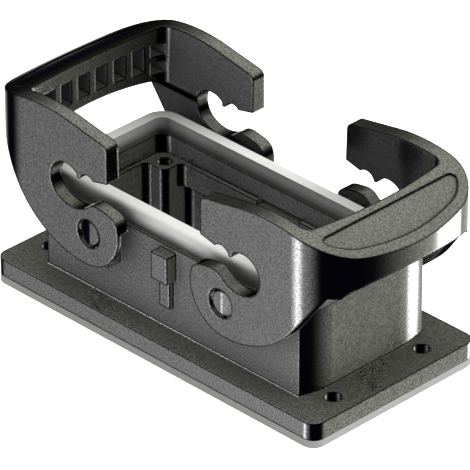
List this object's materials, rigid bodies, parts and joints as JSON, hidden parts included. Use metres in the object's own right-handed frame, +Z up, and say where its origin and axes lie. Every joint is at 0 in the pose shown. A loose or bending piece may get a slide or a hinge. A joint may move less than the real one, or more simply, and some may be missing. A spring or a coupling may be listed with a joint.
{
  "type": "heavy duty rectangular connector housing",
  "caption": "Bulkhead mounted rectangular connector housing with an open insert shaft, a rim seal, a flange gasket and a locking lever at each end.",
  "frame": {"origin": "centre of the underside of the flange gasket, the face that is screwed to a panel", "axes": "+X along the housing towards the right lever, +Z up out of the panel towards the mating hood"},
  "size_m": [0.1304, 0.059, 0.0586],
  "materials": {
    "casting": "fine grained dark grey powder coat on a die casting",
    "lever": "fine grained dark grey glass filled plastic",
    "seal": "light warm grey elastomer",
    "gasket": "light warm grey elastomer"
  },
  "bodies": {
    "base": {"housing": "casting", "flange_gasket": "gasket", "rim_seal": "seal"},
    "left_lever": {"lever_left": "lever"},
    "right_lever": {"lever_right": "lever"}
  },
  "joints": [
    {"name": "left_lever_pivot", "type": "hinge", "parent": "base", "child": "left_lever", "pos_m": [-0.0238, 0, 0.0274], "axis": [0, -1, 0], "range_deg": [0, 52]},
    {"name": "right_lever_pivot", "type": "hinge", "parent": "base", "child": "right_lever", "pos_m": [0.0238, 0, 0.0274], "axis": [0, 1, 0], "range_deg": [0, 52]}
  ]
}
